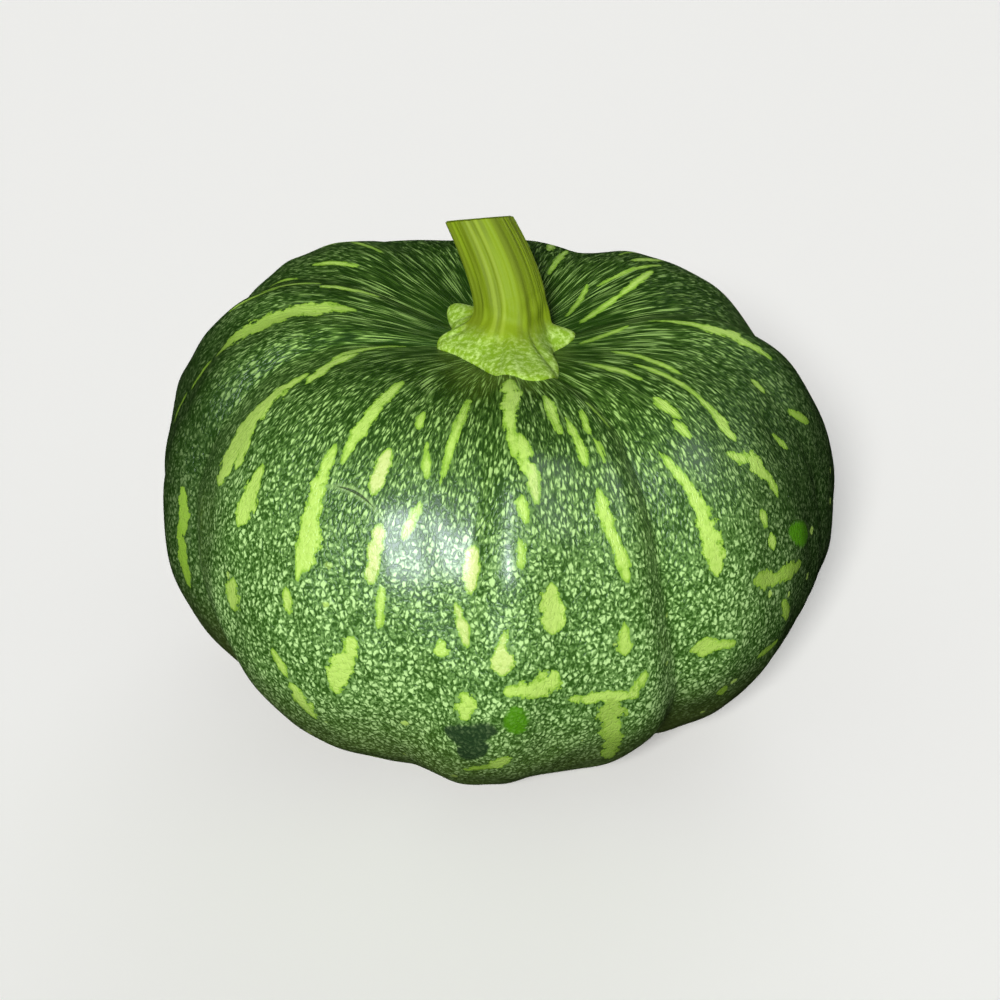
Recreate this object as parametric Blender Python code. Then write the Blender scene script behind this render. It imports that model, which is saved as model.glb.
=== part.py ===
"""A kabocha squash: one flattened, ribbed fruit, and the cut stem whose lobed foot sits in its stem cavity.

Units are metres and +Z is up. The fruit rests on small flats under its ribs at z = 0, and the middle of its
box is on the Z axis. An azimuth is in degrees round the fruit: 0 is the front (-Y), and it grows towards +X.
A place on the rind is an azimuth and a polar fraction, 0 at the stem end and 1 at the blossom end.
"""
import bmesh
import bpy
import numpy as np

MM = 0.001

# Fruit: the body is a stretched sphere, sunk at both ends
GIRTH_RADIUS = 90 * MM
CROWN_HEIGHT = 66 * MM
BELLY_DEPTH = 62 * MM
CROWN_POWER = 0.64
BELLY_POWER = 0.86
CAVITY_DEPTH = 19.5 * MM
CAVITY_RADIUS = 45 * MM
DIMPLE_DEPTH = 8 * MM
DIMPLE_RADIUS = 28 * MM
REST_FLAT = 3.5 * MM

# Ribs, round the fruit: a furrow's azimuth on the crown and the degrees that it leans by on the belly, then its
# depth, the swell of the rib that follows it and the faint crease down that rib's middle, in millimetres
RIBS = [
    (-146, 0, 4.0, 3.0, 0.5),
    (-110, 0, 1.0, 2.0, 0.0),
    (-91, 0, 1.0, -1.0, 0.0),
    (-70, 16, 10.0, 0.0, 0.0),
    (-4, -13, 4.5, 1.0, 0.0),
    (11, 0, 2.5, -2.5, 0.0),
    (30, 8, 12.0, -2.5, 0.0),
    (72, 0, 4.0, -0.5, 0.0),
    (105, 0, 12.0, -1.0, 0.5),
    (161, 0, 12.0, -6.0, 0.0),
]
LEAN_START, LEAN_END = 0.35, 0.75
RIB_ROUNDNESS = 0.8
FURROW_SOFTNESS = 0.25
SWELL_POWER = 1.5
CREASE_WIDTH = 0.12
FADE_POWER = 0.5

# Stem: its middle line is a Bezier curve from the bottom of the cavity, bent back and to the left
STEM_PATH = np.array([(1, 0, 0), (3, 0, 10), (-1, 6, 18), (-8, 12.5, 29)]) * MM
SHANK_RADIUS = 9.4 * MM
CUT_RADIUS = 7.4 * MM
CUT_NORMAL = np.array([-0.12, 0.41, 0.90])
CUT_BEVEL = 0.5 * MM
FOOT_HEIGHT = 12 * MM
FOOT_SHARE = 0.42
FOOT_SINK = 4 * MM
FOOT_SPREAD_LEAST = 1.5 * MM
FLARE_CLIMB = 0.42
FLARE_POWER = 2.2
RIND_GAP = 0.35 * MM
CROWN_POLAR = 0.3

# Lobes of the foot, each running up the shank as a ridge: azimuth, and reach beyond the shank in millimetres
LOBES = [(-132, 7.5), (-68, 6.0), (-32, 4.0), (5, 10.0), (25, 12.0), (92, 6.5), (150, 6.0)]
LOBE_HALF_WIDTH = 26.0
RIDGE_HALF_WIDTH = 13.0
RIDGE_HEIGHT = 0.8 * MM

# Mesh counts
COLUMNS_PER_RIB = 10
FRUIT_ROWS = 30
STEM_COLUMNS = 48
BASE_ROWS = 2
FOOT_ROWS = 8
SHANK_ROWS = 8
CUT_ROWS = 2
PROFILE_SAMPLES = 600

RIND_COLOUR = (0.045, 0.115, 0.025, 1.0)
STEM_COLOUR = (0.32, 0.42, 0.06, 1.0)


def furrow_azimuth(index, polar):
    """Azimuth of a furrow at a polar fraction: straight down the crown, then leaning by a smooth step. The index
    after the last one is the first furrow again, a whole turn on."""
    crown = np.array([rib[0] for rib in RIBS] + [RIBS[0][0] + 360.0])
    lean = np.array([rib[1] for rib in RIBS] + [RIBS[0][1]])
    part_way = np.clip((polar - LEAN_START) / (LEAN_END - LEAN_START), 0, 1)
    return crown[index] + lean[index] * part_way ** 2 * (3 - 2 * part_way)


def rib_offset(azimuth, polar):
    """Radial growth at each place: minus the furrow's depth away from the rib's round back, plus its swell."""
    depth = np.array([rib[2] for rib in RIBS] + [RIBS[0][2]]) * MM
    swell = np.array([rib[3] for rib in RIBS]) * MM
    crease = np.array([rib[4] for rib in RIBS]) * MM
    first = furrow_azimuth(0, polar)
    turned = (azimuth - first) % 360.0 + first
    rib = sum((turned >= furrow_azimuth(index, polar)).astype(int) for index in range(1, len(RIBS)))
    edge = furrow_azimuth(rib, polar)
    across = (turned - edge) / (furrow_azimuth(rib + 1, polar) - edge)
    back = np.sin(np.pi * np.clip(across, 0.0, 1.0))
    soft_back = np.sqrt((back ** 2 + FURROW_SOFTNESS ** 2) / (1 + FURROW_SOFTNESS ** 2))
    furrow = (depth[rib] * (1 - across) + depth[rib + 1] * across) * (1 - soft_back ** RIB_ROUNDNESS)
    middle = np.exp(-((across - 0.5) / CREASE_WIDTH) ** 2)
    return swell[rib] * back ** SWELL_POWER - furrow - crease[rib] * middle


def rind_point(azimuth, polar):
    """Radius and height of the rind: a power of the sine gives the radius, the cosine the height, both scaled
    by the rib's offset, and two bell curves of the radius sink the stem cavity and the blossom dimple."""
    angle = np.pi * polar
    sine = np.clip(np.sin(angle), 0.0, 1.0)
    cosine = np.cos(angle)
    upper = cosine > 0
    scale = 1 + rib_offset(azimuth, polar) / GIRTH_RADIUS * sine ** FADE_POWER
    radius = GIRTH_RADIUS * sine ** np.where(upper, CROWN_POWER, BELLY_POWER) * scale
    height = np.where(upper, CROWN_HEIGHT, BELLY_DEPTH) * cosine * scale
    cavity = CAVITY_DEPTH * np.exp(-(radius / CAVITY_RADIUS) ** 2)
    dimple = DIMPLE_DEPTH * np.exp(-(radius / DIMPLE_RADIUS) ** 2)
    return radius, height + np.where(upper, -cavity, dimple)


def even_polar(share):
    """Polar fractions whose rows lie evenly along the rind of a plain rib, so that rows crowd at the cavity."""
    polar = np.linspace(0, 1, PROFILE_SAMPLES)
    radius, height = rind_point(np.full_like(polar, RIBS[0][0]), polar)
    length = np.concatenate([[0], np.cumsum(np.hypot(np.diff(radius), np.diff(height)))])
    return np.interp(share, length / length[-1], polar)


def column_azimuth(share, polar):
    """Azimuth of a column, by its share of a whole turn: every rib gets as many columns, a furrow one of its own."""
    rib = np.floor(share * len(RIBS)).astype(int)
    edge = furrow_azimuth(rib, polar)
    return edge + (share * len(RIBS) - rib) * (furrow_azimuth(rib + 1, polar) - edge)


def sphere_shares(columns, rows):
    """A UV sphere in a new bmesh, with each vertex's share of a turn and its share of the way down."""
    bm = bmesh.new()
    bmesh.ops.create_uvsphere(bm, u_segments=columns, v_segments=rows, radius=1.0)
    places = np.array([vertex.co[:] for vertex in bm.verts])
    down = np.arccos(np.clip(places[:, 2], -1, 1)) / np.pi
    turn = np.round(np.arctan2(places[:, 1], places[:, 0]) / (2 * np.pi) * columns) / columns % 1.0
    return bm, turn, np.round(down * rows) / rows


def finish_mesh(bm, places, name, material, collection):
    """Moves the bmesh's vertices to their places and makes them a named, smooth object of one material."""
    for vertex, place in zip(bm.verts, places):
        vertex.co = place
    bmesh.ops.recalc_face_normals(bm, faces=bm.faces)
    mesh = bpy.data.meshes.new(name)
    bm.to_mesh(mesh)
    bm.free()
    mesh.shade_smooth()
    mesh.materials.append(material)
    piece = bpy.data.objects.new(name, mesh)
    collection.objects.link(piece)
    return piece


def polar_to_xyz(azimuth, radius, height):
    """Places from an azimuth, a radius from the axis and a height."""
    angle = np.radians(azimuth)
    return np.stack([radius * np.sin(angle), -radius * np.cos(angle), height], axis=-1)


def make_fruit(material, collection):
    """The fruit about its own axis, and the shift that puts its box's middle on the Z axis and its rest at z = 0."""
    bm, turn, down = sphere_shares(COLUMNS_PER_RIB * len(RIBS), FRUIT_ROWS)
    polar = even_polar(down)
    azimuth = column_azimuth(turn, polar)
    radius, height = rind_point(azimuth, polar)
    places = polar_to_xyz(azimuth, radius, height)
    rest = places[:, 2].min() + REST_FLAT
    places[:, 2] = np.maximum(places[:, 2], rest)
    middle = (places.min(axis=0) + places.max(axis=0)) / 2
    shift = np.array([-middle[0], -middle[1], -rest])
    return finish_mesh(bm, places + shift, "fruit", material, collection), shift


def rind_height(azimuth, radius):
    """Height of the crown's rind under a point, by reading each azimuth's profile at that radius."""
    polar = np.linspace(0, CROWN_POLAR, PROFILE_SAMPLES)
    heights = []
    for one_azimuth, one_radius in zip(azimuth, radius):
        profile_radius, profile_height = rind_point(np.full_like(polar, one_azimuth), polar)
        heights.append(np.interp(one_radius, profile_radius, profile_height))
    return np.array(heights)


def around_lobes(azimuth, amounts, half_width):
    """Sum over the lobes of a bell curve about each lobe's azimuth, times that lobe's amount."""
    total = np.zeros_like(azimuth)
    for (middle, _), amount in zip(LOBES, amounts):
        away = (azimuth - middle + 180) % 360 - 180
        total += amount * np.exp(-(away / half_width) ** 2)
    return total


def stem_frame(share):
    """Middle line of the stem, its direction and its two cross directions, at each share of its length."""
    t = share[:, None]
    start, lower, upper, end = STEM_PATH
    middle = start * (1 - t) ** 3 + 3 * lower * t * (1 - t) ** 2 + 3 * upper * t ** 2 * (1 - t) + end * t ** 3
    along = (lower - start) * (1 - t) ** 2 + 2 * (upper - lower) * t * (1 - t) + (end - upper) * t ** 2
    along /= np.linalg.norm(along, axis=1, keepdims=True)
    right = np.array([1.0, 0, 0]) - along * along[:, :1]
    right /= np.linalg.norm(right, axis=1, keepdims=True)
    return middle, along, right, np.cross(along, right)


def stem_point(azimuth, share):
    """Point of the stem's side. Up the shank it is a ridged circle round the middle line. Over the first part
    of the length it blends into the foot, whose lobes draw in from the rind upwards in a bell curve."""
    middle, along, right, back = stem_frame(share)
    ridge = RIDGE_HEIGHT * around_lobes(azimuth, [1.0] * len(LOBES), RIDGE_HALF_WIDTH)
    radius = SHANK_RADIUS + (CUT_RADIUS - SHANK_RADIUS) * share + ridge
    angle = np.radians(azimuth)[:, None]
    shank = middle + radius[:, None] * (np.sin(angle) * right - np.cos(angle) * back)
    climb = np.clip(share / FOOT_SHARE, 0, 1)
    spread = FOOT_SPREAD_LEAST + around_lobes(azimuth, [reach * MM for _, reach in LOBES], LOBE_HALF_WIDTH)
    foot_radius = SHANK_RADIUS + ridge + spread * np.exp(-(climb / FLARE_CLIMB) ** FLARE_POWER)
    lift = rind_height(azimuth, foot_radius) - rind_height(azimuth[:1], np.zeros(1))
    foot = polar_to_xyz(azimuth, foot_radius, lift + FOOT_HEIGHT * climb)
    blend = (climb ** 2 * (3 - 2 * climb))[:, None]
    return foot * (1 - blend) + shank * blend, along


def onto_cut(places, along):
    """Places slid along the stem onto the plane of the cut."""
    normal = CUT_NORMAL / np.linalg.norm(CUT_NORMAL)
    far = (STEM_PATH[-1] - places) @ normal / (along @ normal)
    return places + along * far[:, None]


def make_stem(material, collection, fruit, shift):
    """The stem as a sphere's rings carried up it, from inside the fruit to the cut, less the fruit below it."""
    foot_top = BASE_ROWS + FOOT_ROWS
    rim = foot_top + SHANK_ROWS
    rows = rim + CUT_ROWS
    bm, turn, down = sphere_shares(STEM_COLUMNS, rows)
    azimuth = turn * 360.0
    row = np.round((1 - down) * rows).astype(int)
    share = np.interp(row, [BASE_ROWS, foot_top, rim], [0, FOOT_SHARE, 1])
    places, along = stem_point(azimuth, share)
    places[row >= rim] = onto_cut(places[row >= rim], along[row >= rim])
    places[row == rim] -= along[row == rim] * CUT_BEVEL
    bevelled = (row > rim) & (row < rows)
    places[bevelled] += (STEM_PATH[-1] - places[bevelled]) * CUT_BEVEL / CUT_RADIUS
    places[row == rows] = STEM_PATH[-1]
    sunk = (row > 0) & (row < BASE_ROWS)
    places[sunk] -= (0, 0, FOOT_SINK)
    places[row == 0] = (0, 0, -FOOT_SINK)
    _, pole_height = rind_point(np.zeros(1), np.zeros(1))
    places[:, 2] += pole_height[0]
    stem = finish_mesh(bm, places + shift, "stem", material, collection)

    cutters = bpy.data.collections.new("cutters")
    bpy.context.scene.collection.children.link(cutters)
    cutter = bpy.data.objects.new("lifted_fruit", fruit.data.copy())
    cutter.location = (0, 0, RIND_GAP)
    cutter.hide_render = True
    cutter.display_type = "WIRE"
    cutters.objects.link(cutter)
    seat = stem.modifiers.new("seat on the rind", "BOOLEAN")
    seat.operation = "DIFFERENCE"
    seat.solver = "EXACT"
    seat.object = cutter
    return stem


def make_material(name, colour, roughness):
    """A plain Principled material of one colour and roughness."""
    material = bpy.data.materials.new(name)
    material.use_nodes = True
    shader = material.node_tree.nodes["Principled BSDF"]
    shader.inputs["Base Color"].default_value = colour
    shader.inputs["Roughness"].default_value = roughness
    shader.inputs["Metallic"].default_value = 0.0
    material.diffuse_color = colour
    return material


def main():
    for old in list(bpy.data.objects):
        bpy.data.objects.remove(old, do_unlink=True)
    collection = bpy.data.collections.new("kabocha_squash")
    bpy.context.scene.collection.children.link(collection)
    fruit, shift = make_fruit(make_material("rind", RIND_COLOUR, 0.4), collection)
    make_stem(make_material("stem", STEM_COLOUR, 0.6), collection, fruit, shift)


main()
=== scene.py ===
# %% [markdown]
# This lesson dresses a kabocha squash: one flattened, ribbed fruit about 18 cm across, with the stump of its
# stem on top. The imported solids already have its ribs, its lobed stem and the flats that it rests on. Both
# pieces are made again here as fine surfaces worked out with numpy, from the same driving sizes, and then
# they get a rind and a stem finish built from shader nodes.

import bpy
import numpy as np
from mathutils import Matrix, Vector


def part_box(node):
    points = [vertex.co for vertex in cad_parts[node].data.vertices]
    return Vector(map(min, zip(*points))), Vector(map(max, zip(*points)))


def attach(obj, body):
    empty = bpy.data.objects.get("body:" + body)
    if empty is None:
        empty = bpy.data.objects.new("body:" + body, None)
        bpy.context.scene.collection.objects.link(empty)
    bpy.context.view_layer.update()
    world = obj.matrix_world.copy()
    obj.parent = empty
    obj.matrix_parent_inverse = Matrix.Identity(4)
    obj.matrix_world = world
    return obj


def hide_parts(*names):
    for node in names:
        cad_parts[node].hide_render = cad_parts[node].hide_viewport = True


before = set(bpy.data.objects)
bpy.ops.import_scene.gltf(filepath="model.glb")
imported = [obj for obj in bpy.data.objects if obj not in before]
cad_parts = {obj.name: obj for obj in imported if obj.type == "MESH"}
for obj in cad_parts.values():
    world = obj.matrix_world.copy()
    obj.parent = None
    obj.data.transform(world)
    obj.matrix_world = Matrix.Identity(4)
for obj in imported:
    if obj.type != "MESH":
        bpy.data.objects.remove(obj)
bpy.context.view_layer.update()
MM = 0.001

# %% [markdown]
# Round the fruit, a squash has ribs with soft valleys between them, and no two are alike. Each rib is told by
# the furrow before it, how far it swells, and how deep the faint crease down its back is. Furrows run straight
# on the crown, and some lean to one side as they go down the belly. Writing one line for each rib keeps the
# real fruit's unevenness, which a single cosine round the fruit would lose.

# %% The ribs round the fruit
# Furrow azimuth on the crown (0 is the front, growing to the right) and its lean on the belly, in degrees, then
# furrow depth, rib swell and crease in mm
RIBS = [
    (-146, 0, 4.0, 3.0, 0.5),
    (-110, 0, 1.0, 2.0, 0.0),
    (-91, 0, 1.0, -1.0, 0.0),
    (-70, 16, 10.0, 0.0, 0.0),
    (-4, -13, 4.5, 1.0, 0.0),
    (11, 0, 2.5, -2.5, 0.0),
    (30, 8, 12.0, -2.5, 0.0),
    (72, 0, 4.0, -0.5, 0.0),
    (105, 0, 12.0, -1.0, 0.5),
    (161, 0, 12.0, -6.0, 0.0),
]
LEAN_START, LEAN_END = 0.35, 0.75
RIB_ROUNDNESS = 0.8
FURROW_SOFTNESS = 0.25
SWELL_POWER = 1.5
CREASE_WIDTH = 0.12


def furrow_azimuth(index, polar):
    """Azimuth of a furrow at a polar fraction: its place on the crown plus its lean times a smooth step. The
    index after the last one is the first furrow again, a whole turn on."""
    crown = np.array([rib[0] for rib in RIBS] + [RIBS[0][0] + 360.0])
    lean = np.array([rib[1] for rib in RIBS] + [RIBS[0][1]])
    part_way = np.clip((polar - LEAN_START) / (LEAN_END - LEAN_START), 0, 1)
    return crown[index] + lean[index] * part_way ** 2 * (3 - 2 * part_way)


def rib_place(azimuth, polar):
    """Which rib a place is on, and how far across it lies, from 0 at its furrow to 1 at the next one."""
    first = furrow_azimuth(0, polar)
    turned = (azimuth - first) % 360.0 + first
    rib = sum((turned >= furrow_azimuth(index, polar)).astype(int) for index in range(1, len(RIBS)))
    edge = furrow_azimuth(rib, polar)
    return rib, (turned - edge) / (furrow_azimuth(rib + 1, polar) - edge)


def rib_offset(azimuth, polar):
    """Radial growth: the rib's swell times the sine of its width to a power, less the furrow's depth times
    what the rounded back leaves of it, less a bell curve for the crease. Also how deep in a furrow it is."""
    depth = np.array([rib[2] for rib in RIBS] + [RIBS[0][2]]) * MM
    swell = np.array([rib[3] for rib in RIBS]) * MM
    crease = np.array([rib[4] for rib in RIBS]) * MM
    rib, across = rib_place(azimuth, polar)
    back = np.sin(np.pi * np.clip(across, 0.0, 1.0))
    soft_back = np.sqrt((back ** 2 + FURROW_SOFTNESS ** 2) / (1 + FURROW_SOFTNESS ** 2))
    furrow = (depth[rib] * (1 - across) + depth[rib + 1] * across) * (1 - soft_back ** RIB_ROUNDNESS)
    middle = np.exp(-((across - 0.5) / CREASE_WIDTH) ** 2)
    return swell[rib] * back ** SWELL_POWER - furrow - crease[rib] * middle, furrow


print("ribs:", len(RIBS), "deepest furrow in mm:", max(rib[2] for rib in RIBS))

# %% [markdown]
# From the stem to the blossom end, the fruit is a sphere pressed flat. A power of the sine squares its
# shoulders, and a bell curve of the radius sinks the hollow that the stem stands in. The rows are spread
# evenly along the skin and not along the axis, so that the steep hollow is as finely meshed as the belly.

# %% The fruit's profile
GIRTH_RADIUS = 90 * MM
CROWN_HEIGHT = 66 * MM
BELLY_DEPTH = 62 * MM
CROWN_POWER = 0.64
BELLY_POWER = 0.86
CAVITY_DEPTH = 19.5 * MM
CAVITY_RADIUS = 45 * MM
DIMPLE_DEPTH = 8 * MM
DIMPLE_RADIUS = 28 * MM
FADE_POWER = 0.5
REST_FLAT = 3.5 * MM
PROFILE_SAMPLES = 600


def rind_point(azimuth, polar):
    """Radius and height: the girth times a power of the sine, and the crown or belly times the cosine, both
    scaled by the rib's offset, with bell curves of the radius for the stem cavity and the blossom dimple."""
    angle = np.pi * polar
    sine = np.clip(np.sin(angle), 0.0, 1.0)
    cosine = np.cos(angle)
    upper = cosine > 0
    scale = 1 + rib_offset(azimuth, polar)[0] / GIRTH_RADIUS * sine ** FADE_POWER
    radius = GIRTH_RADIUS * sine ** np.where(upper, CROWN_POWER, BELLY_POWER) * scale
    height = np.where(upper, CROWN_HEIGHT, BELLY_DEPTH) * cosine * scale
    cavity = CAVITY_DEPTH * np.exp(-(radius / CAVITY_RADIUS) ** 2)
    dimple = DIMPLE_DEPTH * np.exp(-(radius / DIMPLE_RADIUS) ** 2)
    return radius, height + np.where(upper, -cavity, dimple)


def even_polar(share):
    """Polar fractions at even steps of length along a plain rib's profile."""
    polar = np.linspace(0, 1, PROFILE_SAMPLES)
    radius, height = rind_point(np.full_like(polar, RIBS[0][0]), polar)
    length = np.concatenate([[0], np.cumsum(np.hypot(np.diff(radius), np.diff(height)))])
    return np.interp(share, length / length[-1], polar)


def polar_to_xyz(azimuth, radius, height):
    """Places from an azimuth in degrees, a radius from the axis and a height."""
    angle = np.radians(azimuth)
    return np.stack([radius * np.sin(angle), -radius * np.cos(angle), height + 0 * angle], axis=-1)


COLUMNS = 480
ROWS = 200
azimuth = np.arange(COLUMNS) * 360.0 / COLUMNS - 180.0
polar = even_polar(np.arange(ROWS + 1) / ROWS)
AZ, PO = np.meshgrid(azimuth, polar)
radius, height = rind_point(AZ, PO)
rind = polar_to_xyz(AZ, radius, height)
print("rind grid:", rind.shape, "radius in mm up to", round(radius.max() / MM, 1))

# %% [markdown]
# A grown rind is never a clean formula. Slow waves a centimetre or two long make the light run unevenly over
# it. They are a sum of a few plane waves in random directions, which costs nothing and has no seams. At the
# blossom end, the dropped flower leaves a small corky scar: a ring round a pit, with cracks across it.

# %% Waves, the blossom scar and the soft rest
WAVE_HEIGHT = 0.22 * MM
WAVE_COUNT = 24
WAVE_SHORTEST, WAVE_LONGEST = 9 * MM, 28 * MM
CALM_RADIUS = 30 * MM
SCAR_RING = 4.6 * MM
SCAR_RING_WIDTH = 1.3 * MM
SCAR_RING_HEIGHT = 0.9 * MM
SCAR_PIT_DEPTH = 1.4 * MM
SCAR_CRACKS = 9
REST_SOFTNESS = 0.35 * MM


def soft_waves(places, shortest, longest, count, seed):
    """A sum of plane waves of random direction, length and phase, scaled to about one in height."""
    rng = np.random.default_rng(seed)
    direction = rng.normal(size=(count, 3))
    direction /= np.linalg.norm(direction, axis=1, keepdims=True)
    length = rng.uniform(shortest, longest, count)
    phase = rng.uniform(0, 2 * np.pi, count)
    turns = places @ (direction * (2 * np.pi / length)[:, None]).T + phase
    return np.cos(turns).sum(axis=-1) / np.sqrt(count / 2)


def blossom_scar(azimuth, radius):
    """How far the scar stands out of the rind: a ring, less a pit in its middle, split by cracks."""
    ring = SCAR_RING_HEIGHT * np.exp(-((radius - SCAR_RING) / SCAR_RING_WIDTH) ** 2)
    pit = SCAR_PIT_DEPTH * np.exp(-(radius / (SCAR_RING / 2)) ** 2)
    cracks = 0.75 + 0.25 * np.cos(np.radians(azimuth) * SCAR_CRACKS + 2 * np.sin(np.radians(azimuth) * 2))
    return ring * cracks - pit


waves = soft_waves(rind, WAVE_SHORTEST, WAVE_LONGEST, WAVE_COUNT, seed=3)
calm = np.clip(radius / CALM_RADIUS, 0, 1)
rind *= 1 + (WAVE_HEIGHT * waves * calm / GIRTH_RADIUS)[..., None]
rind[..., 2] -= np.where(PO > 0.5, blossom_scar(AZ, radius), 0)
rest = rind[..., 2].min() + REST_FLAT
rind[..., 2] = rest + REST_SOFTNESS * np.logaddexp(0, (rind[..., 2] - rest) / REST_SOFTNESS)

low, high = (np.array(corner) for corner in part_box("fruit"))
middle = (rind.reshape(-1, 3).min(axis=0) + rind.reshape(-1, 3).max(axis=0)) / 2
shift = np.array([*((low + high) / 2 - middle)[:2], low[2] - rind[..., 2].min()])
rind += shift
print("shift to the packed fruit in mm:", np.round(shift / MM, 2))

# %% [markdown]
# The mesh maker takes a grid of places, closed round its columns, with a pole at each end. One pole vertex
# and a fan of triangles close each end, so the surface is one shut skin with its faces outwards.

# %% A mesh from a closed grid
def skin_mesh(name, grid, attributes):
    """An object from rows of places, the first and last row each shrunk to one pole. Quads join row to row,
    fans close the poles, and each attribute is a grid of numbers or of triples carried on the points."""
    rows, columns = grid.shape[:2]
    inner = np.arange((rows - 2) * columns).reshape(rows - 2, columns)
    beside = np.roll(inner, -1, axis=1)
    quads = np.stack([inner[:-1], inner[1:], beside[1:], beside[:-1]], axis=-1).reshape(-1, 4)
    first, last = inner.size, inner.size + 1
    top = np.stack([np.full(columns, first), inner[0], beside[0]], axis=-1)
    bottom = np.stack([np.full(columns, last), beside[-1], inner[-1]], axis=-1)
    pick = lambda values: np.concatenate([values[1:-1].reshape(-1, *values.shape[2:]), values[0, :1], values[-1, :1]])
    mesh = bpy.data.meshes.new(name)
    mesh.from_pydata(pick(grid).tolist(), [], quads.tolist() + top.tolist() + bottom.tolist())
    for title, values in attributes.items():
        kind, field = ("FLOAT", "value") if values.ndim == 2 else ("FLOAT_VECTOR", "vector")
        layer = mesh.attributes.new(title, kind, "POINT")
        layer.data.foreach_set(field, pick(values).astype(np.float32).ravel())
    mesh.shade_smooth()
    piece = bpy.data.objects.new(name, mesh)
    bpy.context.scene.collection.objects.link(piece)
    return piece


print("the mesh maker closes", COLUMNS, "columns with a fan at each pole")
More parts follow.
